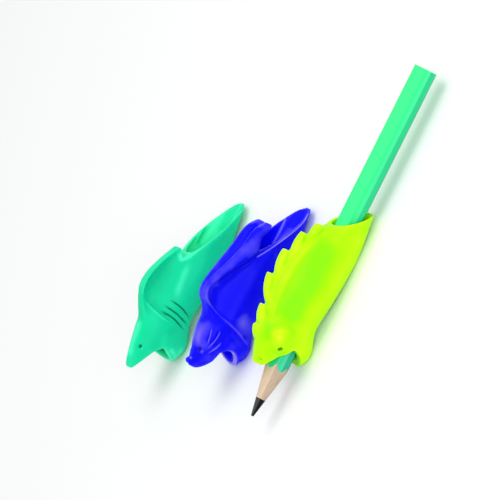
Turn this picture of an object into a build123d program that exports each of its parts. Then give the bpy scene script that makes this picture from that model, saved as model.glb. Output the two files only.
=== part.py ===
"""Set of three soft animal pencil grips, one of them on a sharpened hexagonal pencil.

Millimetres, +Z up. The grips stand on their bellies in a row, heads towards -X.
Each grip has a frame of its own: x runs along the bore towards the tail, y is the
animal's height and z its left side. x = 0 is where the tip of the pencil stands.
"""
import os
from math import cos, radians, sin, tan

from build123d import *

# pencil
PENCIL_LENGTH = 114.0
PENCIL_FLATS = 6.9
EDGE_ROUNDING = 1.1
LACQUER = 0.12
LEAD_DIAMETER = 3.0
LEAD_TIP_DIAMETER = 0.8
SHARPENED_HALF_ANGLE = 11.0
PENCIL_TURN = -32.0

# bore of the grips, clear of the rounded edges of the pencil
BORE_CLEARANCE = 0.3
PENCIL_EDGE_RADIUS = PENCIL_FLATS / 2 / cos(radians(30)) - EDGE_ROUNDING * (1 / cos(radians(30)) - 1)
BORE_RADIUS = PENCIL_EDGE_RADIUS + BORE_CLEARANCE
TAIL_BORE_RADIUS = 4.9
FLARE_LENGTH = 4.0

# the row: where x = 40 of the lizard stands, and how far ahead of it, beside it and turned the others are
BORE_HEIGHT = 7.0
ROW_STATION = 40.0
ROW_X = -15.05
ROW_Y = -36.64
RABBIT_AHEAD = 7.6
SHARK_AHEAD = 15.0
RABBIT_BESIDE = 35.6
SHARK_BESIDE = 73.1
RABBIT_YAW = 1.4
SHARK_YAW = 3.7

# tube that all three grips share, from the lower jaw to beyond the tip of the tail
STATIONS = (17.0, 21.0, 25.0, 30.0, 35.0, 41.0, 47.0, 53.0, 59.0, 65.0, 71.0, 77.0)
BELLY = (-6.3, -7.1, -7.4, -5.5, -5.6, -6.3, -6.9, -7.3, -7.0, -6.2, -5.2, -4.6)
HALF_WIDTH = (5.3, 6.2, 6.5, 6.1, 6.4, 6.8, 6.8, 6.3, 5.9, 5.6, 5.3, 5.1)
WIDEST = 0.4

# back of each animal at the same stations: height, half width halfway up and near the top
SHARK_BACK = (5.4, 6.8, 9.2, 12.5, 14.2, 13.2, 10.4, 7.2, 5.6, 5.4, 5.2, 5.0)
SHARK_SHOULDER = (4.2, 4.8, 5.2, 4.2, 3.5, 3.3, 3.6, 4.7, 4.9, 4.7, 4.5, 4.3)
SHARK_CROWN = (2.4, 2.8, 2.7, 1.7, 1.5, 1.5, 1.5, 2.0, 2.7, 2.7, 2.6, 2.5)
RABBIT_BACK = (5.0, 6.8, 9.2, 11.6, 14.2, 12.6, 10.4, 7.4, 6.2, 5.6, 5.2, 5.0)
RABBIT_SHOULDER = (3.2, 4.9, 5.5, 5.3, 5.2, 5.6, 5.9, 5.5, 5.1, 4.8, 4.5, 4.3)
RABBIT_CROWN = (2.4, 3.0, 3.4, 2.9, 2.5, 3.2, 3.6, 3.2, 2.9, 2.8, 2.6, 2.5)
LIZARD_BACK = (5.0, 6.9, 9.6, 11.0, 11.8, 12.2, 11.6, 9.8, 7.2, 5.8, 5.2, 5.0)
LIZARD_SHOULDER = (4.2, 4.8, 5.4, 5.0, 5.2, 5.4, 5.4, 5.3, 5.1, 4.8, 4.5, 4.3)
LIZARD_CROWN = (2.4, 2.8, 3.0, 2.6, 2.6, 2.7, 2.7, 2.8, 2.8, 2.7, 2.6, 2.5)

# heads: station, height of the middle, half width and half height of each round
SHARK_HEAD = (
    (11.1, 6.2, 1.1, 1.2),
    (13.4, 5.6, 2.5, 2.4),
    (16.6, 4.9, 3.9, 3.7),
    (20.5, 4.2, 5.0, 5.0),
    (25.3, 3.5, 5.9, 6.3),
    (31.0, 3.0, 4.0, 4.6),
)
RABBIT_HEAD = (
    (12.5, 6.9, 1.0, 1.0),
    (13.3, 6.5, 2.0, 1.9),
    (14.9, 5.8, 3.3, 2.9),
    (17.5, 5.1, 4.7, 4.1),
    (21.0, 5.2, 5.6, 4.9),
    (25.3, 5.0, 6.0, 5.8),
    (31.0, 4.6, 4.6, 4.8),
)
LIZARD_HEAD = (
    (14.5, 6.5, 2.3, 1.2),
    (16.0, 6.0, 3.7, 2.3),
    (18.5, 5.6, 4.8, 3.7),
    (22.0, 5.4, 5.8, 5.3),
    (26.0, 5.2, 6.2, 5.9),
    (32.0, 4.8, 4.6, 4.8),
)

# mouths: upper lip from its corner forwards, then the edge of the lower jaw from the corner down
SHARK_LIP = ((20.6, 1.1), (19.5, 2.0), (15.2, 4.2), (10.0, 6.1))
RABBIT_LIP = ((21.0, 1.5), (19.1, 2.7), (16.8, 2.9), (14.7, 3.5), (12.0, 5.2))
LIZARD_LIP = ((22.9, 0.6), (20.5, 2.0), (18.9, 3.0), (16.5, 4.7), (13.6, 6.2))
SHARK_JAW = ((19.1, -1.5), (18.3, -4.2), (18.0, -7.4))
RABBIT_JAW = ((21.4, -0.6), (19.7, -2.9), (18.5, -4.5), (17.7, -6.6))
LIZARD_JAW = ((22.2, -1.4), (20.5, -3.8), (18.9, -5.5), (18.3, -7.4))

# scoops cut into the tails: their upper end, where the bore starts to widen, and the tip of the tail
SHARK_SCOOP = ((46.9, 6.1), (69.9, -5.2))
RABBIT_SCOOP = ((48.4, 6.8), (69.9, -5.2))
LIZARD_SCOOP = ((59.4, 6.6), (69.0, -5.2))

# rear edge of the shark's fin, down to its tip
FIN_REAR = ((49.9, 16.0), (49.6, 7.6))

# ears: station, height of the middle, half width, half height, distance from the middle plane
RABBIT_EAR = (
    (30.0, 10.2, 1.1, 0.8, 0.8),
    (34.0, 13.7, 1.6, 1.2, 1.2),
    (37.0, 13.6, 1.9, 1.4, 1.4),
    (41.4, 12.0, 2.3, 1.7, 2.0),
    (46.0, 9.8, 2.7, 2.4, 2.6),
    (49.7, 8.3, 3.1, 2.6, 2.9),
    (55.0, 8.0, 2.5, 1.9, 2.8),
    (58.3, 7.1, 2.2, 1.5, 2.7),
    (60.4, 5.9, 1.6, 0.9, 2.5),
)
NOSE_BALL = (13.9, 8.6)
NOSE_BALL_RADIUS = 1.1

# crest: the middle, the tip and the following notch of each lobe
CREST_THICKNESS = 3.4
CREST_FOOT = 5.0
CREST_FRONT = (20.0, 9.0)
CREST_LOBES = (
    ((22.4, 12.2), (24.7, 13.1), (25.2, 12.0)),
    ((27.8, 13.6), (31.0, 14.0), (30.9, 11.6)),
    ((35.6, 15.5), (40.1, 16.6), (40.1, 14.1)),
    ((44.6, 15.6), (48.3, 15.4), (48.3, 12.9)),
    ((51.8, 13.2), (55.1, 12.6), (55.0, 10.0)),
    ((57.4, 9.9), (59.6, 8.9), (59.8, 6.2)),
)

# eye domes of the lizard
DOME_STATION = 24.8
DOME_HEIGHT = 7.0
DOME_OFFSET = 2.6
DOME_RADIUS = 3.4

FAR = 30.0


def grip_frame(ahead, beside, yaw):
    """Frame of one grip: x along its bore, y up, z to its left side."""
    along = Vector(cos(radians(yaw)), sin(radians(yaw)), 0)
    left = Vector(sin(radians(yaw)), -cos(radians(yaw)), 0)
    middle = Vector(ROW_X - ahead, ROW_Y + beside, BORE_HEIGHT)
    return Plane(origin=middle - along * ROW_STATION, x_dir=along, z_dir=left)


def across(frame, station):
    """Plane square to the bore at a station: x to the animal's right, y up."""
    return Plane(origin=frame.from_local_coords((station, 0, 0)), x_dir=frame.z_dir * -1, z_dir=frame.x_dir)


def tube(frame, back, shoulder, crown):
    """Solid of the tube with its back, lofted through the shared stations."""
    with BuildPart() as body:
        for i, station in enumerate(STATIONS):
            rise = back[i] - WIDEST
            drop = WIDEST - BELLY[i]
            with BuildSketch(across(frame, station)):
                with BuildLine():
                    Spline(
                        (0, BELLY[i]),
                        (HALF_WIDTH[i] * sin(radians(45)), WIDEST - drop * cos(radians(45))),
                        (HALF_WIDTH[i], WIDEST),
                        (shoulder[i], WIDEST + rise / 2),
                        (crown[i], back[i] - crown[i] * 0.45),
                        (0, back[i]),
                        tangents=((1, 0), (-1, 0)),
                    )
                    mirror(about=Plane.YZ)
                make_face()
        loft()
    return body.part


def rounds(frame, sections, side=0):
    """Solid lofted through ellipses; side is 1 or -1 for sections that stand off the middle plane."""
    with BuildPart() as body:
        for station, height, half_width, half_height, *aside in sections:
            offset = side * sum(aside)
            with BuildSketch(across(frame, station)):
                with Locations((offset, height)):
                    Ellipse(half_width, half_height)
        loft()
    return body.part


def side_cutter(frame, outline):
    """Solid of a side outline, right through the grip."""
    with BuildPart() as cutter:
        with BuildSketch(frame):
            with BuildLine():
                Polyline(*outline, close=True)
            make_face()
        extrude(amount=FAR, both=True)
    return cutter.part


def mouth(frame, lip, jaw):
    """Space below the curve of the upper lip and in front of the edge of the lower jaw."""
    with BuildPart() as cutter:
        with BuildSketch(frame):
            with BuildLine():
                Spline(*lip)
                Polyline(lip[-1], (-FAR, lip[-1][1]), (-FAR, -FAR), (jaw[-1][0], -FAR), jaw[-1])
                Spline(lip[0], *jaw)
            make_face()
        extrude(amount=FAR, both=True)
    return cutter.part


def scoop(frame, ends, *rear):
    """What the scoop takes off the tail; rear is the edge of a fin that stands over it."""
    top = (*rear, ends[0])[0]
    tail = ((ends[1][0], -FAR), (4 * FAR, -FAR), (4 * FAR, FAR))
    return side_cutter(frame, (*rear, *ends, *tail, (top[0], FAR)))


def bore(frame, flare):
    """Round bore along the whole grip, widened from the flare to the tail so that a pencil finds it."""
    with BuildPart() as cutter:
        with BuildSketch(frame):
            with BuildLine():
                Polyline(
                    (-FAR, 0),
                    (-FAR, BORE_RADIUS),
                    (flare, BORE_RADIUS),
                    (flare + FLARE_LENGTH, TAIL_BORE_RADIUS),
                    (4 * FAR, TAIL_BORE_RADIUS),
                    (4 * FAR, 0),
                    close=True,
                )
            make_face()
        revolve(axis=Axis(frame.origin, frame.x_dir))
    return cutter.part


def hexagon(flats, rounding):
    """Hexagon with rounded corners, one corner towards +x."""
    with BuildSketch() as outline:
        RegularPolygon(flats / 2, 6, major_radius=False)
        fillet(outline.vertices(), rounding)
    return outline.sketch


shark_frame = grip_frame(SHARK_AHEAD, SHARK_BESIDE, SHARK_YAW)
rabbit_frame = grip_frame(RABBIT_AHEAD, RABBIT_BESIDE, RABBIT_YAW)
lizard_frame = grip_frame(0, 0, 0)
pencil_back = across(lizard_frame, PENCIL_LENGTH)
corner_dir = pencil_back.x_dir * cos(radians(PENCIL_TURN)) + pencil_back.y_dir * sin(radians(PENCIL_TURN))
pencil_end = Plane(origin=pencil_back.origin, x_dir=corner_dir, z_dir=pencil_back.z_dir)

# shark: its fin is part of the back
with BuildPart() as shark_grip:
    add(tube(shark_frame, SHARK_BACK, SHARK_SHOULDER, SHARK_CROWN))
    add(rounds(shark_frame, SHARK_HEAD))
    add(mouth(shark_frame, SHARK_LIP, SHARK_JAW), mode=Mode.SUBTRACT)
    add(scoop(shark_frame, SHARK_SCOOP, *FIN_REAR), mode=Mode.SUBTRACT)
    add(bore(shark_frame, SHARK_SCOOP[0][0]), mode=Mode.SUBTRACT)
    split(bisect_by=Plane.XY, keep=Keep.TOP)

# rabbit: two ears laid back, their ends free over the scoop, and a ball on the nose
with BuildPart() as rabbit_grip:
    add(tube(rabbit_frame, RABBIT_BACK, RABBIT_SHOULDER, RABBIT_CROWN))
    add(scoop(rabbit_frame, RABBIT_SCOOP), mode=Mode.SUBTRACT)
    add(rounds(rabbit_frame, RABBIT_HEAD))
    add(mouth(rabbit_frame, RABBIT_LIP, RABBIT_JAW), mode=Mode.SUBTRACT)
    for side in (-1, 1):
        add(rounds(rabbit_frame, RABBIT_EAR, side))
    with Locations(rabbit_frame.from_local_coords((*NOSE_BALL, 0))):
        Sphere(NOSE_BALL_RADIUS)
    add(bore(rabbit_frame, RABBIT_SCOOP[0][0]), mode=Mode.SUBTRACT)
    split(bisect_by=Plane.XY, keep=Keep.TOP)

# lizard: a crest of lobes along the back, and domed eyes
with BuildPart() as lizard_grip:
    add(tube(lizard_frame, LIZARD_BACK, LIZARD_SHOULDER, LIZARD_CROWN))
    add(rounds(lizard_frame, LIZARD_HEAD))
    add(mouth(lizard_frame, LIZARD_LIP, LIZARD_JAW), mode=Mode.SUBTRACT)
    with BuildSketch(lizard_frame) as crest:
        with BuildLine():
            start = CREST_FRONT
            for middle, tip, notch in CREST_LOBES:
                ThreePointArc(start, middle, tip)
                Line(tip, notch)
                start = notch
            Polyline(start, (start[0], CREST_FOOT), (CREST_FRONT[0], CREST_FOOT), CREST_FRONT)
        make_face()
    extrude(amount=CREST_THICKNESS / 2, both=True)
    for side in (-1, 1):
        with Locations(lizard_frame.from_local_coords((DOME_STATION, DOME_HEIGHT, side * DOME_OFFSET))):
            Sphere(DOME_RADIUS)
    add(scoop(lizard_frame, LIZARD_SCOOP), mode=Mode.SUBTRACT)
    add(bore(lizard_frame, LIZARD_SCOOP[0][0]), mode=Mode.SUBTRACT)
    split(bisect_by=Plane.XY, keep=Keep.TOP)

# what the sharpener takes off the front of the pencil
with BuildPart() as shavings:
    with BuildSketch(lizard_frame):
        with BuildLine():
            cone_end = (FAR, LEAD_TIP_DIAMETER / 2 + FAR * tan(radians(SHARPENED_HALF_ANGLE)))
            Polyline((0, LEAD_TIP_DIAMETER / 2), cone_end, (0, cone_end[1]), close=True)
        make_face()
    revolve(axis=Axis(lizard_frame.origin, lizard_frame.x_dir))

# two wooden slats, glued round the lead
with BuildPart() as pencil_slat_upper:
    with BuildSketch(pencil_end):
        add(hexagon(PENCIL_FLATS - 2 * LACQUER, EDGE_ROUNDING - LACQUER))
        Circle(LEAD_DIAMETER / 2, mode=Mode.SUBTRACT)
        split(bisect_by=Plane.XZ, keep=Keep.BOTTOM)
    extrude(amount=-PENCIL_LENGTH)
    add(shavings.part, mode=Mode.SUBTRACT)

with BuildPart() as pencil_slat_lower:
    with BuildSketch(pencil_end):
        add(hexagon(PENCIL_FLATS - 2 * LACQUER, EDGE_ROUNDING - LACQUER))
        Circle(LEAD_DIAMETER / 2, mode=Mode.SUBTRACT)
        split(bisect_by=Plane.XZ, keep=Keep.TOP)
    extrude(amount=-PENCIL_LENGTH)
    add(shavings.part, mode=Mode.SUBTRACT)

# lead, glued into the grooves of the slats
with BuildPart() as pencil_lead:
    with BuildSketch(pencil_end):
        Circle(LEAD_DIAMETER / 2)
    extrude(amount=-PENCIL_LENGTH)
    add(shavings.part, mode=Mode.SUBTRACT)

# coat of lacquer on the flats
with BuildPart() as pencil_lacquer:
    with BuildSketch(pencil_end):
        add(hexagon(PENCIL_FLATS, EDGE_ROUNDING))
        add(hexagon(PENCIL_FLATS - 2 * LACQUER, EDGE_ROUNDING - LACQUER), mode=Mode.SUBTRACT)
    extrude(amount=-PENCIL_LENGTH)
    add(shavings.part, mode=Mode.SUBTRACT)

os.makedirs("parts", exist_ok=True)
pieces = {
    "shark_grip": shark_grip,
    "rabbit_grip": rabbit_grip,
    "lizard_grip": lizard_grip,
    "pencil_slat_upper": pencil_slat_upper,
    "pencil_slat_lower": pencil_slat_lower,
    "pencil_lead": pencil_lead,
    "pencil_lacquer": pencil_lacquer,
}
for node, piece in pieces.items():
    piece.part.label = node
    export_step(piece.part, f"parts/{node}.step")
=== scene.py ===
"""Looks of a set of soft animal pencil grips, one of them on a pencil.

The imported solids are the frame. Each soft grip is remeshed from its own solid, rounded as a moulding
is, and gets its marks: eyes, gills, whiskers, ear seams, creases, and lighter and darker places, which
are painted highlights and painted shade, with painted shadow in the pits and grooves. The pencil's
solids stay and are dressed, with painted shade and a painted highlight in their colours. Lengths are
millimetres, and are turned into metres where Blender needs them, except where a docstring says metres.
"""
import logging
import math
from dataclasses import dataclass
from enum import Enum

import bpy
import numpy as np
from mathutils import Matrix, Vector


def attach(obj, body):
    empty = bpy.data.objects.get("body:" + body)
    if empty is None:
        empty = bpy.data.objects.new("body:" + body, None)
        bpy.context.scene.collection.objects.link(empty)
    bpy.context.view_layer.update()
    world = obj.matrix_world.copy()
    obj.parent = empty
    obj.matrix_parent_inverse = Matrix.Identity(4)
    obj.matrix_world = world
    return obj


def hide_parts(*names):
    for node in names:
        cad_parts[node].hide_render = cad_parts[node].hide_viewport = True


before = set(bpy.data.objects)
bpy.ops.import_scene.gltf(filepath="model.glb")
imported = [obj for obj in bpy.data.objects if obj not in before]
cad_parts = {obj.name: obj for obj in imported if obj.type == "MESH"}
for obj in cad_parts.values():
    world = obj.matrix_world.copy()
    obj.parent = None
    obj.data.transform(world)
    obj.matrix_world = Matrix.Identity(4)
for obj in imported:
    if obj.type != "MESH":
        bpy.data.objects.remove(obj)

log = logging.getLogger("pencil_grips")

Colour = tuple[float, float, float]
Point = tuple[float, float]
Tree = bpy.types.NodeTree
Node = bpy.types.Node
Socket = bpy.types.NodeSocket
Material = bpy.types.Material

MM = 0.001
BODY_GRIPS = "grips"
WHITE: Colour = (1.0, 1.0, 1.0)

# a mark's line: its fewest samples in a run, and more of them where the mark is narrow
LEAST_SAMPLES = 16
SAMPLES_PER_WIDTH = 2.5
# a mark: how many widths away it still works, its strength at tapered ends, and how soon it fades beyond
# its line when it works on one side only
MARK_REACH = 3.0
END_STRENGTH = 0.12
FLANK_SLOPE = 2.0

# one round of smoothing goes half of the way to the middle of the neighbours
SMOOTH_STEP = 0.5

# surface of the mouldings: its clouds and its grain, and how far the clouds shift tone and gloss
CLOUD_SIZE = 6.0
CLOUD_DETAIL = 2.0
CLOUD_TONE = 0.5
CLOUD_GLOSS = 0.3
GRAIN_SIZE = 0.16
GRAIN_DETAIL = 1.0


def linear(hex_colour: str) -> Colour:
    """Turns an sRGB hex colour into the linear values that shaders take.

    Args:
        hex_colour: six hex digits.

    Returns:
        Red, green and blue in linear light.
    """
    values = [int(hex_colour[i:i + 2], 16) / 255 for i in (0, 2, 4)]
    return tuple(c / 12.92 if c <= 0.04045 else ((c + 0.055) / 1.055) ** 2.4 for c in values)


def shaded(hex_colour: str, shade: float) -> Colour:
    """Linear values of a hex colour, each multiplied by a shade."""
    return tuple(value * shade for value in linear(hex_colour))


def new_material(name: str) -> tuple[Material, Tree, Node]:
    """Starts a material.

    Args:
        name: the material's name.

    Returns:
        The material, its tree and its Principled shader.
    """
    made = bpy.data.materials.new(name)
    made.use_nodes = True
    return made, made.node_tree, made.node_tree.nodes["Principled BSDF"]


def set_inputs(node: Node, values: dict[str, object]) -> None:
    """Sets fixed values of a node's inputs by their names."""
    for label, value in values.items():
        node.inputs[label].default_value = value


def object_place(tree: Tree) -> Socket:
    """Adds the Object coordinates to a tree."""
    return tree.nodes.new("ShaderNodeTexCoord").outputs["Object"]


def add_math(tree: Tree, operation: str, first: Socket, second: Socket | float) -> Socket:
    """Adds a Math node to a tree.

    Args:
        tree: the node tree.
        operation: the Math node's operation.
        first: the socket that feeds its first value.
        second: its second value, or the socket that feeds it.

    Returns:
        The node's output socket.
    """
    node = tree.nodes.new("ShaderNodeMath")
    node.operation = operation
    tree.links.new(first, node.inputs[0])
    if isinstance(second, Socket):
        tree.links.new(second, node.inputs[1])
    else:
        node.inputs[1].default_value = second
    return node.outputs[0]


def add_clamp(tree: Tree, value: Socket) -> Socket:
    """Keeps a value between 0 and 1."""
    return add_math(tree, "MINIMUM", add_math(tree, "MAXIMUM", value, 0.0), 1.0)


def add_mix(tree: Tree, factor: Socket, first: Socket, second: Socket) -> Socket:
    """Adds a colour Mix node to a tree.

    Args:
        tree: the node tree.
        factor: the socket that feeds the factor.
        first: the colour at factor 0.
        second: the colour at factor 1.

    Returns:
        The mixed colour's socket.
    """
    node = tree.nodes.new("ShaderNodeMix")
    node.data_type = "RGBA"
    tree.links.new(factor, node.inputs["Factor"])
    tree.links.new(first, node.inputs["A"])
    tree.links.new(second, node.inputs["B"])
    return node.outputs["Result"]


def add_noise(tree: Tree, place: Socket, size_mm: float, detail: float) -> Socket:
    """Adds a noise whose grains are of a real size.

    Args:
        tree: the node tree.
        place: the socket that feeds its coordinates, in metres.
        size_mm: the size of one grain.
        detail: how many finer layers it has.

    Returns:
        The noise's value.
    """
    node = tree.nodes.new("ShaderNodeTexNoise")
    set_inputs(node, {"Scale": 1 / (size_mm * MM), "Detail": detail})
    tree.links.new(place, node.inputs["Vector"])
    return node.outputs["Fac"]


def add_bump(tree: Tree, shader: Node, height: Socket, strength: float, depth_mm: float) -> None:
    """Feeds a height into a shader's normal.

    Args:
        tree: the node tree.
        shader: the Principled shader.
        height: the socket of the height.
        strength: how strongly the relief shows.
        depth_mm: the depth of the relief.
    """
    bump = tree.nodes.new("ShaderNodeBump")
    set_inputs(bump, {"Strength": strength, "Distance": depth_mm * MM})
    tree.links.new(height, bump.inputs["Height"])
    tree.links.new(bump.outputs["Normal"], shader.inputs["Normal"])


def new_group(name: str, inputs: dict[str, str], outputs: dict[str, str]) -> tuple[Tree, Node, Node]:
    """Starts a shader node group.

    Args:
        name: the group's name.
        inputs: socket types by input name.
        outputs: socket types by output name.

    Returns:
        The tree, its input node and its output node.
    """
    tree = bpy.data.node_groups.new(name, "ShaderNodeTree")
    for label, kind in inputs.items():
        tree.interface.new_socket(label, in_out="INPUT", socket_type=kind)
    for label, kind in outputs.items():
        tree.interface.new_socket(label, in_out="OUTPUT", socket_type=kind)
    return tree, tree.nodes.new("NodeGroupInput"), tree.nodes.new("NodeGroupOutput")


def moulded_surface() -> Tree:
    """Surface of a soft moulding: its colours by painted highlight and shade, by painted shadow and by random
    clouds, cloudy gloss and fine grain.

    Returns:
        The node group, made once.
    """
    made = bpy.data.node_groups.get("moulded_surface")
    if made:
        return made
    colour, value = "NodeSocketColor", "NodeSocketFloat"
    tree, given, out = new_group(
        "moulded_surface",
        {"Body": colour, "Light": colour, "Deep": colour, "Ink": colour,
         "Tone Mask": value, "Ink Mask": value, "Gloss": value},
        {"Color": colour, "Roughness": value, "Height": value},
    )
    place = object_place(tree)
    clouds = add_noise(tree, place, CLOUD_SIZE, CLOUD_DETAIL)
    grain = add_noise(tree, place, GRAIN_SIZE, GRAIN_DETAIL)
    drift = add_math(tree, "MULTIPLY", add_math(tree, "SUBTRACT", clouds, 0.5), CLOUD_TONE)
    # the tone mask brings painted highlight above 0 and painted shade below 0, and the clouds add tone that
    # differs at random
    tone = add_math(tree, "ADD", given.outputs["Tone Mask"], drift)
    lighter = add_clamp(tree, tone)
    deeper = add_clamp(tree, add_math(tree, "MULTIPLY", tone, -1.0))
    mixed = add_mix(tree, lighter, given.outputs["Body"], given.outputs["Light"])
    mixed = add_mix(tree, deeper, mixed, given.outputs["Deep"])
    # painted shadow, mostly in pits and grooves, by the dark mask
    mixed = add_mix(tree, given.outputs["Ink Mask"], mixed, given.outputs["Ink"])
    rough = add_math(tree, "ADD", given.outputs["Gloss"], add_math(tree, "MULTIPLY", drift, CLOUD_GLOSS))
    tree.links.new(mixed, out.inputs["Color"])
    tree.links.new(rough, out.inputs["Roughness"])
    tree.links.new(grain, out.inputs["Height"])
    return tree


def activate(piece: bpy.types.Object) -> None:
    """Makes a piece the only selected one and the active one.

    Args:
        piece: the piece.
    """
    bpy.ops.object.select_all(action="DESELECT")
    piece.select_set(True)
    bpy.context.view_layer.objects.active = piece


def apply_modifier(piece: bpy.types.Object, kind: str, **settings: object) -> None:
    """Adds a modifier to a piece and applies it.

    Args:
        piece: the piece.
        kind: the modifier's type.
        **settings: the modifier's values by name.
    """
    activate(piece)
    made = piece.modifiers.new(kind.lower(), kind)
    for name, value in settings.items():
        setattr(made, name, value)
    bpy.ops.object.modifier_apply(modifier=made.name)


def relaxed(points: np.ndarray, edges: np.ndarray, weights: np.ndarray, rounds: int) -> np.ndarray:
    """Moves points towards the middle of their neighbours, round after round.

    Args:
        points: the vertices.
        edges: the two vertices of each edge.
        weights: how strongly each vertex moves, from 0 to 1.
        rounds: how many rounds.

    Returns:
        The moved points.
    """
    start, end = edges.T
    count = len(points)
    degree = np.bincount(edges.ravel(), minlength=count)[:, None]
    moved = points.copy()
    for _ in range(rounds):
        sums = [np.bincount(start, moved[end, axis], count) + np.bincount(end, moved[start, axis], count)
                for axis in range(3)]
        moved += SMOOTH_STEP * weights[:, None] * (np.stack(sums, axis=1) / degree - moved)
    return moved


def read_mesh(mesh: bpy.types.Mesh) -> tuple[np.ndarray, np.ndarray, np.ndarray]:
    """Reads a mesh into arrays.

    Args:
        mesh: the mesh.

    Returns:
        Its points, its vertex normals and the two vertices of each edge.
    """
    points = np.zeros(len(mesh.vertices) * 3)
    normals = np.zeros(len(mesh.vertices) * 3)
    edges = np.zeros(len(mesh.edges) * 2, int)
    mesh.vertices.foreach_get("co", points)
    mesh.vertices.foreach_get("normal", normals)
    mesh.edges.foreach_get("vertices", edges)
    return points.reshape(-1, 3), normals.reshape(-1, 3), edges.reshape(-1, 2)


class Reach(Enum):
    """Which part of a grip a mark may touch."""

    SKIN = "outside of the grip"
    BORE = "wall of the bore"


class Flank(Enum):
    """On which side of its line a mark works."""

    BOTH = 0
    REAR = 1
    FRONT = -1


@dataclass(frozen=True)
class Mark:
    """A line or spot on a grip that is pressed in or stands proud, the same on both sides of the animal.

    Points are (station along the bore, height in the side view), in millimetres. A tone above 0 is a painted
    highlight and one below 0 painted shade, and the dark mask is painted shadow in the pit or groove.
    """

    points: tuple[Point, ...]
    width: float
    height: float = 0.0
    tone: float = 0.0
    ink: float = 0.0
    flank: Flank = Flank.BOTH
    taper: float = 0.25
    soft: bool = True
    reach: Reach = Reach.SKIN

    def line(self) -> np.ndarray:
        """Draws a smooth curve through the mark's points.

        Returns:
            The points of the curve, or the one point of a spot.
        """
        given = np.array(self.points, float)
        if len(given) < 2:
            return given
        ends = np.vstack([2 * given[0] - given[1], given, 2 * given[-1] - given[-2]])
        runs = []
        for a, b, c, d in zip(ends, ends[1:], ends[2:], ends[3:]):
            count = max(LEAST_SAMPLES, int(SAMPLES_PER_WIDTH * np.hypot(*(c - b)) / self.width))
            t = np.linspace(0, 1, count, endpoint=False)[:, None]
            runs.append(0.5 * (2 * b + (c - a) * t + (2 * a - 5 * b + 4 * c - d) * t ** 2
                               + (3 * b - a - 3 * c + d) * t ** 3))
        return np.vstack([*runs, given[-1:]])

    def strength(self, seen: np.ndarray) -> np.ndarray:
        """How strongly the mark works at each point of the side view.

        Args:
            seen: station and height in the side view of each vertex, in millimetres.

        Returns:
            A value from 0 to 1 for each vertex.
        """
        line = self.line()
        found = np.zeros(len(seen))
        span = MARK_REACH * self.width
        near = np.where(np.all((seen > line.min(0) - span) & (seen < line.max(0) + span), axis=1))[0]
        if not len(near):
            return found
        away = seen[near][:, None, :] - line[None, :, :]
        distance = np.hypot(away[..., 0], away[..., 1])
        nearest = distance.argmin(1)
        least = distance[np.arange(len(near)), nearest]
        value = np.exp(-(least / self.width) ** (2 if self.soft else 4))
        if len(line) > 1:
            share = nearest / (len(line) - 1)
            if self.taper:
                value *= np.clip(np.minimum(share, 1 - share) / self.taper + END_STRENGTH, 0, 1)
            if self.flank is not Flank.BOTH:
                heading = np.gradient(line, axis=0)[nearest]
                offset = away[np.arange(len(near)), nearest]
                side = np.sign(heading[:, 1] * offset[:, 0] - heading[:, 0] * offset[:, 1])
                rear = side * np.sign(heading[:, 1])
                value *= np.clip(0.5 + FLANK_SLOPE * rear * self.flank.value * least / self.width, 0, 1)
        found[near] = value
        return found


@dataclass(frozen=True)
class Softening:
    """A place that is rounded more than the rest of the grip, in millimetres of the grip's own frame.

    The floor gives its lowest height by station, from its first station to its last. A strip of the
    half width keep along the middle plane stays as it is.
    """

    floor: tuple[Point, ...]
    rounds: int
    fade: float = 2.0
    keep: float = 0.0

    def weights(self, local: np.ndarray) -> np.ndarray:
        """How strongly each point is rounded.

        Args:
            local: points in the grip's own frame.

        Returns:
            A value from 0 to 1 for each point.
        """
        stations, heights = np.array(self.floor, float).T
        above = local[:, 1] - np.interp(local[:, 0], stations, heights)
        inside = np.minimum(local[:, 0] - stations[0], stations[-1] - local[:, 0])
        weight = np.clip(np.minimum(above, inside) / self.fade, 0, 1)
        if self.keep:
            weight *= np.clip(np.abs(local[:, 2]) / self.keep - 1, 0, 1)
        return weight


@dataclass(frozen=True)
class SoftFinish:
    """Colours and gloss of one soft moulding compound: its body colour; a light and a deep colour that its
    random clouds, its painted highlights and its painted shade mix in; and a dark colour for painted shadow,
    mostly in pits and grooves.
    """

    name: str
    body: str
    light: str
    deep: str
    ink: str
    roughness: float = 0.4
    shine: float = 0.07
    subsurface: float = 0.15
    glow: float = 1.4
    grain_strength: float = 0.25
    grain_depth: float = 0.03

    def material(self) -> Material:
        """Builds the material of the moulding.

        Returns:
            The material, which reads the mesh's attributes of painted highlight and shade and of painted
            shadow.
        """
        made, tree, shader = new_material(self.name)
        group = tree.nodes.new("ShaderNodeGroup")
        group.node_tree = moulded_surface()
        colours = {"Body": self.body, "Light": self.light, "Deep": self.deep, "Ink": self.ink}
        set_inputs(group, {label: (*linear(value), 1) for label, value in colours.items()})
        set_inputs(group, {"Gloss": self.roughness})
        for label in ("tone", "ink"):
            attribute = tree.nodes.new("ShaderNodeAttribute")
            attribute.attribute_name = label
            tree.links.new(attribute.outputs["Fac"], group.inputs[label.title() + " Mask"])
        tree.links.new(group.outputs["Color"], shader.inputs["Base Color"])
        tree.links.new(group.outputs["Roughness"], shader.inputs["Roughness"])
        add_bump(tree, shader, group.outputs["Height"], self.grain_strength, self.grain_depth)
        set_inputs(shader, {
            "Specular IOR Level": self.shine,
            "Subsurface Weight": self.subsurface,
            "Subsurface Radius": WHITE,
            "Subsurface Scale": self.glow * MM,
        })
        return made


# the light and deep colours serve the random clouds, the painted highlights and the painted shade; the dark
# colour is painted shadow, mostly in pits and grooves
TEAL = SoftFinish("teal_moulding", body="0edc9c", light="44fcc0", deep="06c288", ink="046a48")
VIOLET = SoftFinish("violet_moulding", body="0a06ff", light="9684ff", deep="0200f2", ink="04008c",
                    roughness=0.36)
LIME = SoftFinish("lime_moulding", body="b6ff04", light="dcff20", deep="88fc00", ink="456f06")


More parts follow.
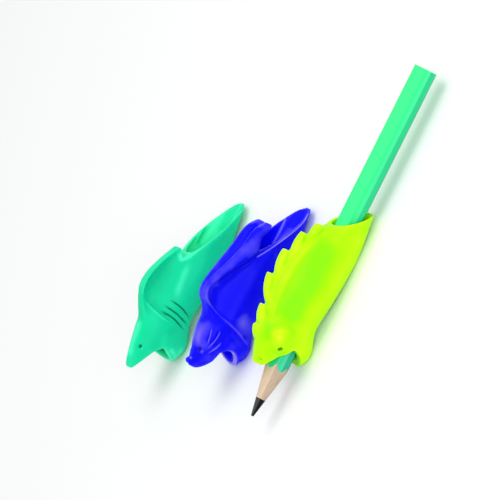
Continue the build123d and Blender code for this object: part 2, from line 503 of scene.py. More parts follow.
@dataclass
class Grip:
    """One soft animal grip, remeshed from its solid and marked.

    Its own frame runs along the bore, up, and to the animal's left. The row's values place that frame.
    """

    node: str
    piece_name: str
    slot: str
    finish: SoftFinish
    flare: float
    # painted light on the slanted end of the lower jaw; below 0 it is painted shade
    jaw_painted_light: float
    marks: tuple[Mark, ...]
    soft_places: tuple[Softening, ...]
    ahead: float = 0.0
    beside: float = 0.0
    yaw: float = 0.0
    row_x: float = -15.05
    row_y: float = -36.64
    row_station: float = 40.0
    bore_height: float = 7.0
    bore_radius: float = 4.11
    bore_margin: float = 0.22
    tail_bore_radius: float = 4.9
    flare_length: float = 4.0
    view_angle: float = 28.0
    full_facing: float = 0.25
    weld: float = 0.002
    voxel: float = 0.28
    rounding: int = 8
    fine_width: float = 0.45
    fine_cuts: int = 1
    finest_width: float = 0.19
    finest_cuts: int = 2
    strip_widths: float = 1.6
    strip_margin: float = 0.15
    strip_edge: float = 0.3
    fillet_rounds: int = 50
    fillet_from: float = 1.3
    fillet_gain: float = 2.0
    convex_reach: int = 40
    # how strongly rounded edges get a painted highlight and hollows painted shade
    convex_gain: float = 1.0
    convex_full: float = 0.6
    convex_offset: float = 0.12
    jaw_from: float = 0.55
    jaw_fade: float = 0.25
    jaw_top: float = 1.2

    def local(self, vectors: np.ndarray, turn_only: bool = False) -> np.ndarray:
        """Gives points or directions in the grip's own frame.

        Args:
            vectors: points in metres, or directions.
            turn_only: true for directions.

        Returns:
            Along the bore, up, and to the animal's left.
        """
        yaw = math.radians(self.yaw)
        along = np.array((math.cos(yaw), math.sin(yaw), 0))
        left = np.array((math.sin(yaw), -math.cos(yaw), 0))
        if not turn_only:
            middle = np.array((self.row_x - self.ahead, self.row_y + self.beside, self.bore_height))
            vectors = vectors / MM - middle
        shift = 0 if turn_only else self.row_station
        return np.stack([vectors @ along + shift, vectors[:, 2], vectors @ left], axis=1)

    def side_view(self, local: np.ndarray) -> np.ndarray:
        """Turns points into the side view that the marks are given in.

        Args:
            local: points in the grip's own frame.

        Returns:
            Station and height of each point.
        """
        rise = math.radians(self.view_angle)
        height = math.cos(rise) * local[:, 1] - math.sin(rise) * np.abs(local[:, 2])
        return np.stack([local[:, 0], height], axis=1)

    def facing(self, local: np.ndarray, normals: np.ndarray) -> np.ndarray:
        """How squarely each vertex faces the side view of its own side.

        Args:
            local: the vertices in the grip's own frame.
            normals: their normals.

        Returns:
            A value from 0 to 1 for each vertex.
        """
        rise = math.radians(self.view_angle)
        turned = self.local(normals, turn_only=True)
        out = math.sin(rise) * turned[:, 1] + math.cos(rise) * turned[:, 2] * np.sign(local[:, 2])
        return np.clip(out / self.full_facing, 0, 1)

    def build(self) -> bpy.types.Object:
        """Remeshes the solid, rounds it and presses in the marks.

        Returns:
            The finished piece.
        """
        piece = bpy.data.objects.new(self.piece_name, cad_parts[self.node].data.copy())
        bpy.context.scene.collection.objects.link(piece)
        piece.data.materials.clear()
        activate(piece)
        bpy.ops.object.mode_set(mode="EDIT")
        bpy.ops.mesh.select_all(action="SELECT")
        bpy.ops.mesh.remove_doubles(threshold=self.weld * MM)
        bpy.ops.object.mode_set(mode="OBJECT")
        apply_modifier(piece, "REMESH", mode="VOXEL", voxel_size=self.voxel * MM)
        apply_modifier(piece, "SMOOTH", factor=SMOOTH_STEP, iterations=self.rounding)
        self.soften(piece)
        self.refine(piece)
        self.press(piece)
        activate(piece)
        bpy.ops.object.shade_smooth()
        return piece

    def soften(self, piece: bpy.types.Object) -> None:
        """Fills the inner corners with soft fillets and rounds the soft places.

        Args:
            piece: the remeshed grip.
        """
        mesh = piece.data
        points, normals, edges = read_mesh(mesh)
        local = self.local(points)
        outside = ~self.in_bore(local)
        aside = np.clip(np.abs(local[:, 2]) / self.fillet_from - 1, 0, 1)
        corners = np.clip(-self.fillet_gain * self.convexity(points, normals, edges), 0, 1) * aside * outside
        points = relaxed(points, edges, corners, self.fillet_rounds)
        for place in self.soft_places:
            points = relaxed(points, edges, place.weights(local) * outside, place.rounds)
        mesh.vertices.foreach_set("co", points.ravel())
        mesh.update()

    def refine(self, piece: bpy.types.Object) -> None:
        """Cuts the faces under the fine marks smaller, and those under the finest ones smallest.

        Args:
            piece: the remeshed grip.
        """
        finest = [mark for mark in self.marks if mark.width <= self.finest_width]
        fine = [mark for mark in self.marks
                if mark not in finest and (mark.width <= self.fine_width or not mark.soft)]
        for marks, cuts in ((fine, self.fine_cuts), (finest, self.finest_cuts)):
            chosen = self.faces_under(piece, marks)
            activate(piece)
            bpy.ops.object.mode_set(mode="EDIT")
            bpy.ops.mesh.select_mode(type="FACE")
            bpy.ops.mesh.select_all(action="DESELECT")
            bpy.ops.object.mode_set(mode="OBJECT")
            piece.data.polygons.foreach_set("select", chosen)
            bpy.ops.object.mode_set(mode="EDIT")
            bpy.ops.mesh.subdivide(number_cuts=cuts, smoothness=0.0)
            bpy.ops.object.mode_set(mode="OBJECT")

    def faces_under(self, piece: bpy.types.Object, marks: list[Mark]) -> np.ndarray:
        """Which faces lie under any of the marks.

        Args:
            piece: the remeshed grip.
            marks: the marks to look under.

        Returns:
            True or false for each face.
        """
        mesh = piece.data
        centres = np.zeros(len(mesh.polygons) * 3)
        mesh.polygons.foreach_get("center", centres)
        local = self.local(centres.reshape(-1, 3))
        seen = self.side_view(local)
        bore = self.in_bore(local)
        under = np.zeros(len(seen), bool)
        for mark in marks:
            wide = Mark(mark.points, mark.width * self.strip_widths + self.strip_margin, taper=0)
            under |= (wide.strength(seen) > self.strip_edge) & (bore == (mark.reach is Reach.BORE))
        return under

    def in_bore(self, local: np.ndarray) -> np.ndarray:
        """Which points lie on the wall of the bore.

        Args:
            local: points in the grip's own frame.

        Returns:
            True or false for each point.
        """
        ends = (self.flare, self.flare + self.flare_length)
        radius = np.interp(local[:, 0], ends, (self.bore_radius, self.tail_bore_radius))
        return np.hypot(local[:, 1], local[:, 2]) < radius + self.bore_margin

    def jaw_face(self, local: np.ndarray, normals: np.ndarray) -> np.ndarray:
        """How far each vertex belongs to the slanted end of the lower jaw, from 0 to 1."""
        forwards = -self.local(normals, turn_only=True)[:, 0]
        return np.clip((forwards - self.jaw_from) / self.jaw_fade, 0, 1) * (local[:, 1] < self.jaw_top)

    def press(self, piece: bpy.types.Object) -> None:
        """Moves the vertices under the marks, and writes the attributes of painted highlight and shade and of
        painted shadow.

        Args:
            piece: the refined grip.
        """
        mesh = piece.data
        points, normals, edges = read_mesh(mesh)
        count = len(points)
        local = self.local(points)
        seen = self.side_view(local)
        bore = self.in_bore(local)
        shown = {
            Reach.SKIN: np.where(bore, 0.0, self.facing(local, normals)),
            Reach.BORE: np.where(bore, 1.0, 0.0),
        }
        lift = np.zeros(count)
        # painted highlight on rounded edges and painted shade in hollows
        tone = self.convexity(points, normals, edges) * self.convex_gain
        # painted light on the jaw's slanted end, and painted shade where this value is below 0
        tone += self.jaw_painted_light * self.jaw_face(local, normals)
        # painted shadow, mostly in pits and grooves
        ink = np.zeros(count)
        # each mark moves the surface, and paints a highlight where its tone is above 0 and shade where it is
        # below 0
        for mark in self.marks:
            strength = mark.strength(seen) * shown[mark.reach]
            lift += strength * mark.height
            tone += strength * mark.tone
            ink = np.maximum(ink, strength * mark.ink)
        points += normals * lift[:, None] * MM
        mesh.vertices.foreach_set("co", points.ravel())
        for label, values in (("tone", np.clip(tone, -1, 1)), ("ink", np.clip(ink, 0, 1))):
            attribute = mesh.attributes.new(label, "FLOAT", "POINT")
            attribute.data.foreach_set("value", values.astype(np.float32))
        mesh.update()

    def convexity(self, points: np.ndarray, normals: np.ndarray, edges: np.ndarray) -> np.ndarray:
        """How far each vertex stands proud of its smoothed neighbourhood.

        Args:
            points: the vertices, in metres.
            normals: their normals.
            edges: the two vertices of each edge.

        Returns:
            About 1 on a rounded edge, 0 on flat ground and below 0 in a hollow.
        """
        smooth = relaxed(points, edges, np.ones(len(points)), self.convex_reach)
        proud = np.sum((points - smooth) * normals, axis=1) / MM
        return np.clip(proud / self.convex_full - self.convex_offset, -1, 1)

    def dress(self, piece: bpy.types.Object) -> None:
        """Gives the piece its material and its body, and hides the solid that it is remeshed from.

        Args:
            piece: the finished piece.
        """
        piece.data.materials.append(self.finish.material())
        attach(piece, BODY_GRIPS)
        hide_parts(self.node)


SHARK_GILLS = (
    ((34.2, 2.6), (33.4, -1.4), (31.8, -4.8)),
    ((32.0, 3.8), (31.2, -0.9), (29.7, -5.2)),
    ((30.1, 4.2), (29.6, -0.4), (27.9, -4.9)),
)
SHARK_NECK = ((31.4, 10.4), (29.6, 6.5), (28.6, 2.9), (27.7, -0.9))
RABBIT_WHISKERS = (
    ((25.1, 5.6), (23.0, 5.05), (20.3, 4.6)),
    ((25.7, 2.95), (23.0, 3.05), (19.3, 4.0)),
    ((22.8, 1.1), (20.4, 2.0), (18.1, 3.3)),
)
RABBIT_GROOVES = (
    ((25.0, 5.95), (22.8, 5.45), (20.1, 5.0)),
    ((25.5, 3.4), (22.8, 3.5), (19.1, 4.4)),
    ((22.6, 1.5), (20.2, 2.4), (17.9, 3.7)),
)
LIZARD_FURROWS = (
    ((54.6, 9.3), (53.3, 9.3), (51.2, 9.8)),
    ((48.0, 12.0), (46.1, 11.5), (43.0, 11.4)),
    ((40.0, 13.3), (37.9, 12.2), (34.7, 11.4)),
    ((58.7, 5.7), (57.9, 5.96), (55.4, 6.9)),
    ((30.8, 10.68), (29.5, 9.9), (27.7, 8.4)),
)

SHARK_MARKS = (
    # eye: a pit darkened with painted shadow, and a painted highlight below it
    Mark(((17.9, 5.1),), width=0.55, height=-0.5, ink=0.9, soft=False),
    Mark(((17.65, 4.4),), width=0.35, height=0.1, tone=0.8),
    # gills: grooves darkened with painted shadow
    *(Mark(line, width=0.22, height=-0.5, ink=0.95) for line in SHARK_GILLS),
    # ridge of the neck with a painted highlight, and the hollow behind it with painted shade
    Mark(SHARK_NECK, width=0.42, height=0.4, tone=0.8, taper=0.3),
    Mark(SHARK_NECK, width=2.2, height=-0.5, tone=-0.5, flank=Flank.REAR, taper=0.3),
    # ridge of the flank with a painted highlight, hollow of the flank with painted shade, and a painted
    # highlight on the edge of the fin
    Mark(((47.0, 2.2), (43.5, 2.0), (38.0, 1.7), (35.5, 1.0)), width=1.1, height=0.35, tone=0.65, taper=0.4),
    Mark(((46.0, 7.2), (41.4, 7.4), (36.1, 8.0), (32.8, 7.9)), width=2.4, height=-0.4, tone=-0.25,
         taper=0.35),
    Mark(((48.8, 8.3), (43.2, 10.8), (37.6, 12.6), (32.7, 12.5)), width=0.5, tone=0.4, taper=0.1),
    # painted shade under the rim of the scoop, a painted highlight along the rim, and painted light inside
    # the scoop
    Mark(((49.0, 0.6), (55.0, -2.8), (63.0, -5.3)), width=1.4, tone=-0.3),
    Mark(((46.1, 5.2), (47.7, 3.6), (50.4, 2.05), (56.1, -0.7), (62.2, -3.3), (67.7, -5.1)), width=0.45,
         tone=0.9, taper=0.03),
    Mark(((48.0, 0.0), (58.0, -2.0), (76.0, -4.0)), width=6.0, tone=0.75, taper=0.03, reach=Reach.BORE),
    # painted highlights on the lower jaw and along the top of the head, and painted shade on the cheek
    Mark(((21.0, -3.4), (20.1, -5.2), (19.0, -6.3)), width=0.7, tone=0.8, taper=0.1),
    Mark(((23.4, -6.8), (21.6, -6.4), (19.6, -6.6)), width=0.7, tone=0.6, taper=0.3),
    Mark(((24.6, -2.3), (26.1, 0.0)), width=2.0, tone=-0.35, taper=0.3),
    Mark(((25.4, 8.6), (21.7, 8.2), (17.4, 7.8), (13.7, 6.7)), width=0.9, tone=0.9, taper=0.2),
    # front end of the bore: painted shadow in the hole and a painted highlight near its mouth
    Mark(((21.4, -4.0), (24.5, -3.0)), width=1.7, ink=0.55, taper=0, reach=Reach.BORE),
    Mark(((18.2, -3.8), (19.3, -3.6)), width=0.9, tone=0.8, taper=0, reach=Reach.BORE),
    # streaks of painted highlight and painted shade in the scoop
    Mark(((61.5, -1.75), (55.8, -1.45), (51.0, -1.2)), width=0.14, height=0.08, tone=0.6, reach=Reach.BORE),
    Mark(((61.5, -0.9), (52.0, 0.1)), width=0.5, tone=-0.7, taper=0.1, reach=Reach.BORE),
    Mark(((62.5, -2.3), (53.0, -2.0)), width=0.35, tone=-0.8, taper=0.1, reach=Reach.BORE),
    Mark(((65.5, -4.1), (59.7, -3.65), (53.0, -3.2)), width=0.4, tone=0.7, taper=0.15, reach=Reach.BORE),
    Mark(((72.0, -4.85), (58.0, -4.85)), width=0.3, tone=-0.45, taper=0.2, reach=Reach.BORE),
    # painted highlights on the front of the scoop and on the bore's wall under it
    Mark(((46.6, 6.2), (48.2, 4.6), (49.6, 3.0)), width=1.2, tone=0.9, taper=0.1),
    Mark(((47.5, -1.0), (53.5, -2.5)), width=3.0, tone=0.5, taper=0.3, reach=Reach.BORE),
)
SHARK_SOFT = (
    Softening(((24.0, -4.0), (34.0, -4.0)), rounds=50, fade=3.0),
    Softening(((44.8, 3.0), (51.0, 2.0)), rounds=15, fade=1.0, keep=1.2),
)
RABBIT_MARKS = (
    # eye: a pit darkened with painted shadow, with a painted highlight below it; a painted highlight on the
    # nose
    Mark(((18.0, 6.2),), width=0.82, height=-0.5, ink=0.7, soft=False),
    Mark(((17.7, 5.3),), width=0.45, height=0.1, tone=0.45),
    Mark(((14.7, 7.4),), width=0.4, tone=0.7),
    # whiskers with painted highlights, and a groove along each darkened with painted shadow
    *(Mark(line, width=0.22, height=0.35, tone=0.5) for line in RABBIT_WHISKERS),
    *(Mark(line, width=0.2, height=-0.35, ink=0.35) for line in RABBIT_GROOVES),
    # seam under the ear darkened with painted shadow, ridge of the neck with a painted highlight, groove
    # along the ear with painted shade and painted shadow, and hollow of the flank with painted shade
    Mark(((49.7, 3.4), (46.0, 5.1), (41.4, 8.15), (37.2, 10.4), (34.2, 10.7), (32.1, 9.1), (30.3, 6.1)),
         width=0.32, height=-0.35, ink=0.4, taper=0.12),
    Mark(((36.2, 12.0), (33.9, 11.5), (32.0, 10.2), (30.0, 6.3), (28.2, 0.3), (27.2, -2.4), (25.3, -5.9)),
         width=0.32, height=0.3, tone=0.28, taper=0.15),
    Mark(((57.7, 6.1), (54.1, 7.6), (49.5, 9.7), (41.6, 12.1)), width=0.45, tone=-0.6, ink=0.35, taper=0.4),
    Mark(((46.0, 1.5), (40.0, 4.0), (34.0, 4.5), (30.0, 1.0)), width=3.5, height=-0.5, tone=-0.4, taper=0.3),
    # painted highlights on the rim and inside of the scoop
    Mark(((49.7, 2.9), (54.1, 0.2), (60.4, -3.1), (64.8, -4.8), (68.5, -5.2)), width=0.17, height=0.12,
         tone=1.0, taper=0.03),
    Mark(((55.4, 0.2), (60.9, -2.6), (65.4, -3.97), (69.0, -4.4)), width=0.55, tone=0.35, taper=0.15),
    Mark(((64.6, -3.94), (59.5, -3.98), (54.8, -3.8)), width=0.19, tone=0.8, taper=0.15, reach=Reach.BORE),
    Mark(((57.0, -4.65), (59.0, -4.95), (61.0, -5.2), (62.6, -5.3)), width=0.46, tone=0.55, taper=0.2,
         reach=Reach.BORE),
    # painted highlights on ear, cheek, jaw, flank and head
    Mark(((60.2, 5.3), (57.9, 6.6)), width=0.6, tone=0.35),
    Mark(((33.4, -0.6), (30.6, -2.2), (27.4, -4.6)), width=2.0, tone=0.5, taper=0.5),
    Mark(((20.6, -2.5), (20.9, -3.4), (20.0, -4.6), (18.6, -4.9)), width=0.55, tone=0.8, taper=0.1),
    Mark(((38.5, 9.0), (35.0, 7.6)), width=1.8, tone=0.2),
    Mark(((33.5, 7.5), (31.0, 4.0)), width=1.8, tone=0.16, taper=0.4),
    Mark(((36.0, 12.6), (33.0, 12.0), (31.4, 10.6)), width=1.0, tone=0.15, taper=0.3),
    Mark(((26.4, -4.0), (24.8, -6.6)), width=0.8, height=0.45, taper=0.2),
    Mark(((24.4, 8.6), (21.0, 8.1), (18.2, 6.8)), width=0.8, tone=0.35, taper=0.45),
    Mark(((55.5, 4.8), (48.0, 7.6), (42.0, 10.2), (37.0, 11.6)), width=1.2, tone=0.12),
    Mark(((26.0, 9.0), (22.0, 7.2), (18.0, 4.6)), width=2.2, tone=0.24, taper=0.2),
)
RABBIT_SOFT = (Softening(((25.0, 1.0), (52.0, 1.0)), rounds=25, fade=3.0),)
LIZARD_MARKS = (
    # eye, nostril and lid: a pit and grooves darkened with painted shadow
    Mark(((21.0, 1.6), (21.4, 1.15)), width=0.5, height=-0.45, ink=0.9, taper=0, soft=False),
    Mark(((16.06, 5.8), (16.0, 5.0)), width=0.24, height=-0.3, ink=0.5, taper=0),
    Mark(((19.9, 3.35), (19.7, 2.0), (20.6, 0.0), (22.1, -1.05)), width=0.3, height=-0.2, ink=0.2),
    Mark(((22.8, -0.8), (23.4, -1.25), (24.3, -1.65)), width=0.3, height=-0.12, ink=0.12),
    # hollow of the flank, with painted shade
    Mark(((54.2, 3.0), (47.2, 3.2), (41.0, 3.2), (33.2, 2.7)), width=3.2, height=-0.5, taper=0.25),
    Mark(((57.0, 1.5), (49.8, 2.6), (41.4, 2.4), (34.1, 3.2), (28.6, 2.2)), width=4.2, tone=-1.1, taper=0.15),
    # painted shade on the top of the head, and painted highlights on the shoulder and the belly
    Mark(((27.7, 8.4), (20.6, 6.3)), width=1.4, height=-0.15, tone=-0.5, taper=0.3),
    Mark(((55.0, 6.0), (51.2, 8.0), (43.5, 9.4), (38.6, 10.1), (33.1, 9.6)), width=1.8, tone=0.3, taper=0.2),
    Mark(((64.0, -4.6), (56.0, -5.2), (46.2, -4.8), (35.2, -2.9), (28.3, -3.4), (22.0, -6.4)), width=2.4,
         tone=0.35, taper=0.1),
    # domed brow with painted highlights
    Mark(((25.8, 3.6), (23.6, 2.9)), width=1.5, tone=0.5, taper=0),
    Mark(((24.2, 3.25),), width=0.6, height=0.12, tone=0.9),
    Mark(((25.95, 3.85),), width=0.55, height=0.12, tone=0.6),
    # crest: a dent, and a painted highlight along it
    Mark(((53.5, 9.4),), width=0.8, height=-0.7),
    Mark(((56.0, 8.0), (47.0, 11.8), (38.5, 12.8), (31.0, 11.0), (24.0, 9.8)), width=1.5, tone=0.3,
         taper=0.1),
    # painted shade in a ring round the brow and on the muzzle, and painted shadow on the jaw
    Mark(((24.0, -0.2), (26.7, -0.2), (28.3, 1.7), (27.8, 4.8), (25.8, 6.5), (23.2, 6.3), (21.3, 4.5)),
         width=1.0, tone=-0.45, taper=0.2),
    Mark(((21.0, 2.6), (17.5, 4.6)), width=2.4, tone=-0.3, taper=0.1),
    Mark(((22.0, -3.9), (20.5, -4.2), (19.4, -5.2)), width=0.8, ink=0.25, taper=0.1),
    # furrows between the lobes, with painted shade
    *(Mark(line, width=0.4, height=-0.4, tone=-0.4, taper=0.3) for line in LIZARD_FURROWS),
)
LIZARD_SOFT = (
    Softening(((18.5, 8.0), (22.0, 9.0), (28.0, 9.5), (41.0, 10.8), (47.0, 10.2), (53.0, 8.2), (62.0, 4.5)),
              rounds=40, fade=1.0, keep=0.9),
)


@dataclass
class Pencil:
    """Hexagonal pencil: its solids stay and get their finishes.

    Bands give the distance from the slats' joint, above 0 on the upper side, where a tint begins and ends.
    The tints are painted shade and a painted highlight, as the photograph has them.
    """

    relief: float = 0.4
    ramp_ends: tuple[float, float] = (0.35, 0.65)
    lacquer_colour: str = "28ee88"
    # lacquer colour in painted shadow, and the stations along the pencil where the painted shadow is full and
    # where it has gone
    shadowed_lacquer_colour: str = "2ace8e"
    shadow_until: float = -30.0
    lit_from: float = 5.0
    # painted shade on the lower flats, and a painted highlight along a strip above them
    painted_underside_shade: Colour = (0.5, 0.72, 1.0)
    painted_underside_band: tuple[float, float] = (-2.25, -2.0)
    painted_edge_highlight: Colour = (2.4, 1.0, 1.35)
    painted_edge_band: tuple[float, float] = (-1.5, -0.9)
    lacquer_shine: float = 0.3
    lacquer_roughness: float = 0.3
    run_roughness: float = 0.1
    run_stretch: float = 30.0
    run_size: float = 0.9
    run_detail: float = 2.0
    run_shade: float = 0.93
    run_depth: float = 0.02
    wood_light: str = "dec6ae"
    wood_dark: str = "ccae92"
    # painted shade on the lower slat's wood
    lower_slat_painted_shade: float = 0.78
    wood_roughness: float = 0.62
    grain_stretch: float = 14.0
    grain_size: float = 0.55
    grain_detail: float = 4.0
    grain_depth: float = 0.05
    pore_size: float = 0.12
    pore_detail: float = 2.0
    pore_share: float = 0.4
    graphite_colour: str = "484848"
    # painted shade on the lead's lower side
    lower_lead_painted_shade: float = 0.1
    lead_painted_shade_band: tuple[float, float] = (-0.2, 0.1)
    lead_metallic: float = 0.1
    lead_shine: float = 0.12
    lead_roughness: float = 0.42
    scratch_size: float = 0.14
    scratch_detail: float = 3.0
    scratch_shades: tuple[float, float] = (0.75, 1.15)
    scratch_depth: float = 0.02

    def dress(self) -> None:
        """Gives the lacquer, the slats and the lead their materials."""
        finishes = {
            "pencil_lacquer": self.lacquer(),
            "pencil_slat_upper": self.wood("upper_slat_wood", 1.0),
            # the lower slat's wood is the same wood darkened with painted shade
            "pencil_slat_lower": self.wood("lower_slat_shaded_wood", self.lower_slat_painted_shade),
            "pencil_lead": self.graphite(),
        }
        for node, finish in finishes.items():
            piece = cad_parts[node]
            piece.data.materials.clear()
            piece.data.materials.append(finish)
            log.info("%s is dressed as %s", node, finish.name)

    def stretched(self, tree: Tree, place: Socket, along: float) -> Socket:
        """Coordinates drawn out along the pencil.

        Args:
            tree: the node tree.
            place: the Object coordinates.
            along: how many times longer a pattern gets along the pencil.

        Returns:
            The stretched coordinates.
        """
        mapping = tree.nodes.new("ShaderNodeMapping")
        mapping.inputs["Scale"].default_value = (1 / along, 1, 1)
        tree.links.new(place, mapping.inputs["Vector"])
        return mapping.outputs["Vector"]

    def ramp(self, tree: Tree, value: Socket, low: Colour, high: Colour) -> Socket:
        """Colour that runs from low to high with a value.

        Args:
            tree: the node tree.
            value: the socket of the value.
            low: the colour at the first of the ramp's ends.
            high: the colour at the second one.

        Returns:
            The colour's socket.
        """
        node = tree.nodes.new("ShaderNodeValToRGB")
        for element, position, colour in zip(node.color_ramp.elements, self.ramp_ends, (low, high)):
            element.position = position
            element.color = (*colour, 1)
        tree.links.new(value, node.inputs["Fac"])
        return node.outputs["Color"]

    def share(self, tree: Tree, value: Socket, low_mm: float, high_mm: float) -> Socket:
        """How far a length lies between two others.

        Args:
            tree: the node tree.
            value: the socket of the length, in metres.
            low_mm: the length that gives 0.
            high_mm: the length that gives 1.

        Returns:
            The socket of a value from 0 to 1.
        """
        node = tree.nodes.new("ShaderNodeMapRange")
        set_inputs(node, {"From Min": low_mm * MM, "From Max": high_mm * MM})
        tree.links.new(value, node.inputs["Value"])
        return node.outputs["Result"]

    def constant(self, tree: Tree, values: Colour) -> Socket:
        """Three fixed values as a socket.

        Args:
            tree: the node tree.
            values: the values.

        Returns:
            The socket of the values.
        """
        node = tree.nodes.new("ShaderNodeCombineXYZ")
        for socket, value in zip(node.inputs, values):
            socket.default_value = value
        return node.outputs["Vector"]

    def above_joint(self, tree: Tree, place: Socket) -> Socket:
        """Distance of a place from the glued joint of the slats, above 0 on the upper slat's side.

        Args:
            tree: the node tree.
            place: the Object coordinates.

        Returns:
            The socket of the distance, in metres.
        """
        upper, lower, lead = (Vector(read_mesh(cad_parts[node].data)[0].mean(0))
                              for node in ("pencil_slat_upper", "pencil_slat_lower", "pencil_lead"))
        away = tree.nodes.new("ShaderNodeVectorMath")
        away.operation = "SUBTRACT"
        away.inputs[1].default_value = lead
        tree.links.new(place, away.inputs[0])
        along = tree.nodes.new("ShaderNodeVectorMath")
        along.operation = "DOT_PRODUCT"
        along.inputs[1].default_value = Vector((0, *(upper - lower).yz)).normalized()
        tree.links.new(away.outputs["Vector"], along.inputs[0])
        return along.outputs["Value"]

    def lacquer(self) -> Material:
        """Glossy lacquer with faint runs, with painted shadow towards its sharpened end, painted shade on its
        lower flats and a painted highlight along a strip above them.

        Returns:
            The material.
        """
        made, tree, shader = new_material("green_lacquer")
        place = object_place(tree)
        runs = add_noise(tree, self.stretched(tree, place, self.run_stretch), self.run_size, self.run_detail)
        shadowed, lit = (self.ramp(tree, runs, shaded(tint, self.run_shade), linear(tint))
                        for tint in (self.shadowed_lacquer_colour, self.lacquer_colour))
        parts = tree.nodes.new("ShaderNodeSeparateXYZ")
        tree.links.new(place, parts.inputs[0])
        # painted shadow, full towards the sharpened end and gone towards the other end
        out_of_shadow = self.share(tree, parts.outputs["X"], self.shadow_until, self.lit_from)
        above = self.above_joint(tree, place)
        # painted highlight along a strip and painted shade on the lower flats
        plain, edge, underside = (self.constant(tree, tint)
                                  for tint in (WHITE, self.painted_edge_highlight, self.painted_underside_shade))
        upper = add_mix(tree, self.share(tree, above, *self.painted_edge_band), edge, plain)
        tint = add_mix(tree, self.share(tree, above, *self.painted_underside_band), underside, upper)
        tinted = tree.nodes.new("ShaderNodeVectorMath")
        tinted.operation = "MULTIPLY"
        tree.links.new(add_mix(tree, out_of_shadow, shadowed, lit), tinted.inputs[0])
        tree.links.new(tint, tinted.inputs[1])
        tree.links.new(tinted.outputs["Vector"], shader.inputs["Base Color"])
        rough = add_math(tree, "ADD", add_math(tree, "MULTIPLY", runs, self.run_roughness),
                         self.lacquer_roughness)
        tree.links.new(rough, shader.inputs["Roughness"])
        set_inputs(shader, {"Specular IOR Level": self.lacquer_shine})
        add_bump(tree, shader, runs, self.relief, self.run_depth)
        return made

    def wood(self, name: str, shade: float) -> Material:
        """Pale pencil wood with grain along the pencil.

        Args:
            name: the material's name.
            shade: how far this slat's wood is darkened by painted shade, 1 for not at all.

        Returns:
            The material.
        """
        made, tree, shader = new_material(name)
        drawn = self.stretched(tree, object_place(tree), self.grain_stretch)
        grain = add_noise(tree, drawn, self.grain_size, self.grain_detail)
        pores = add_noise(tree, drawn, self.pore_size, self.pore_detail)
        both = add_math(tree, "ADD", add_math(tree, "MULTIPLY", pores, self.pore_share),
                        add_math(tree, "MULTIPLY", grain, 1 - self.pore_share))
        dark, light = (shaded(tint, shade) for tint in (self.wood_dark, self.wood_light))
        tree.links.new(self.ramp(tree, both, dark, light), shader.inputs["Base Color"])
        set_inputs(shader, {"Roughness": self.wood_roughness})
        add_bump(tree, shader, both, self.relief, self.grain_depth)
        return made

    def graphite(self) -> Material:
        """Sharpened graphite with a low shine and fine scratches, paler on its upper side, with painted shade
        on its lower side.

        Returns:
            The material.
        """
        made, tree, shader = new_material("graphite")
        place = object_place(tree)
        scratches = add_noise(tree, place, self.scratch_size, self.scratch_detail)
        below, above = (self.ramp(tree, scratches, *(shaded(self.graphite_colour, tint * shade)
                                                     for tint in self.scratch_shades))
                        for shade in (self.lower_lead_painted_shade, 1.0))
        # painted shade on the lead's lower side
        paler = self.share(tree, self.above_joint(tree, place), *self.lead_painted_shade_band)
        tree.links.new(add_mix(tree, paler, below, above), shader.inputs["Base Color"])
        set_inputs(shader, {
            "Metallic": self.lead_metallic,
            "Specular IOR Level": self.lead_shine,
            "Roughness": self.lead_roughness,
        })
        add_bump(tree, shader, scratches, self.relief, self.scratch_depth)
        return made


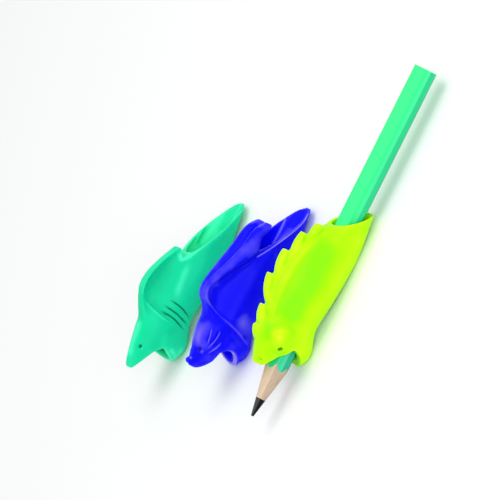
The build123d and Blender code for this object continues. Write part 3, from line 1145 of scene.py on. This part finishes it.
@dataclass
class Studio:
    """Pale floor, soft light and the camera at the photograph's angle.

    The floor, the lamps and the camera's clipping are in metres.
    """

    image_pixels: int = 500
    pixels_per_mm: float = 3.4
    elevation: float = 28.0
    roll: float = 63.35
    aim: tuple[float, float, float] = (-11.702, -26.102, 26.817)
    lens: float = 1500.0
    clip: tuple[float, float] = (0.1, 100.0)
    sensor: float = 36.0
    floor_side: float = 12.0
    floor_colour: str = "f7f8f8"
    floor_roughness: float = 0.9
    floor_shine: float = 0.1
    sky: float = 0.66
    key_power: float = 1.6
    key_side: float = 0.5
    key_place: tuple[float, float, float] = (0.2, -0.02, 0.6)
    fill_power: float = 1.7
    fill_side: float = 0.4
    fill_place: tuple[float, float, float] = (-0.04, -0.62, 0.36)

    def build(self) -> None:
        """Builds the floor, the light and the camera."""
        scene = bpy.context.scene
        scene.view_settings.view_transform = "Standard"
        self.floor()
        self.world(scene)
        self.lamp("key", self.key_place, self.key_side, self.key_power)
        self.lamp("fill", self.fill_place, self.fill_side, self.fill_power)
        scene.camera = self.camera()

    def floor(self) -> None:
        """Lays the pale floor under the grips."""
        bpy.ops.object.select_all(action="DESELECT")
        bpy.ops.mesh.primitive_plane_add(size=self.floor_side)
        plane = bpy.context.active_object
        plane.name = "floor"
        made, _, shader = new_material("pale_floor")
        set_inputs(shader, {
            "Base Color": (*linear(self.floor_colour), 1),
            "Roughness": self.floor_roughness,
            "Specular IOR Level": self.floor_shine,
        })
        plane.data.materials.append(made)

    def world(self, scene: bpy.types.Scene) -> None:
        """Soft light from all round, white where the camera looks at it.

        Args:
            scene: the scene.
        """
        world = bpy.data.worlds.new("studio")
        world.use_nodes = True
        tree = world.node_tree
        background = tree.nodes["Background"]
        path = tree.nodes.new("ShaderNodeLightPath")
        seen = add_math(tree, "MULTIPLY", path.outputs["Is Camera Ray"], 1 - self.sky)
        background.inputs["Color"].default_value = (*WHITE, 1)
        tree.links.new(add_math(tree, "ADD", seen, self.sky), background.inputs["Strength"])
        scene.world = world

    def lamp(self, name: str, place: tuple[float, float, float], side: float, power: float) -> None:
        """Adds a square soft lamp that looks at the middle of the row.

        Args:
            name: the lamp's name.
            place: where it hangs, in metres.
            side: its side, in metres.
            power: its power, in watts.
        """
        light = bpy.data.lights.new(name, "AREA")
        light.shape = "SQUARE"
        light.size = side
        light.energy = power
        lamp = bpy.data.objects.new(name, light)
        bpy.context.scene.collection.objects.link(lamp)
        lamp.location = place
        lamp.rotation_mode = "QUATERNION"
        lamp.rotation_quaternion = (-Vector(place)).to_track_quat("-Z", "Y")
        lamp.visible_camera = False

    def camera(self) -> bpy.types.Object:
        """Places the camera at the photograph's angle and framing.

        Returns:
            The camera.
        """
        rise, roll = math.radians(self.elevation), math.radians(self.roll)
        back = Vector((0, -math.cos(rise), math.sin(rise)))
        level = Vector((1, 0, 0))
        upright = Vector((0, math.sin(rise), math.cos(rise)))
        right = level * math.cos(roll) - upright * math.sin(roll)
        up = level * math.sin(roll) + upright * math.cos(roll)
        half_view = self.image_pixels / self.pixels_per_mm / 2
        distance = half_view / (self.sensor / 2 / self.lens)
        place = (Vector(self.aim) + back * distance) * MM
        data = bpy.data.cameras.new("photo_camera")
        data.lens = self.lens
        data.sensor_width = self.sensor
        data.clip_start, data.clip_end = self.clip
        camera = bpy.data.objects.new("photo_camera", data)
        bpy.context.scene.collection.objects.link(camera)
        turn = Matrix((right, up, back)).transposed().to_4x4()
        camera.matrix_world = Matrix.Translation(place) @ turn
        return camera


def main() -> None:
    """Builds the grips, dresses the pencil and sets the studio."""
    logging.basicConfig(level=logging.INFO, format="%(name)s: %(message)s")
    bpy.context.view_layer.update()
    grips = (
        Grip("shark_grip", "shark_moulding", "teal_rubber", TEAL, flare=46.9, jaw_painted_light=0.6,
             marks=SHARK_MARKS, soft_places=SHARK_SOFT, ahead=15.0, beside=73.1, yaw=3.7),
        Grip("rabbit_grip", "rabbit_moulding", "violet_rubber", VIOLET, flare=48.4, jaw_painted_light=1.0,
             marks=RABBIT_MARKS, soft_places=RABBIT_SOFT, ahead=7.6, beside=35.6, yaw=1.4,
             convex_gain=0.3, voxel=0.295),
        Grip("lizard_grip", "lizard_moulding", "lime_rubber", LIME, flare=59.4, jaw_painted_light=-1.0,
             marks=LIZARD_MARKS, soft_places=LIZARD_SOFT, rounding=5),
    )
    for grip in grips:
        piece = grip.build()
        grip.dress(piece)
        log.info("%s stands for %s with %d faces", piece.name, grip.node, len(piece.data.polygons))
    Pencil().dress()
    Studio().build()


if __name__ == "__main__":
    main()
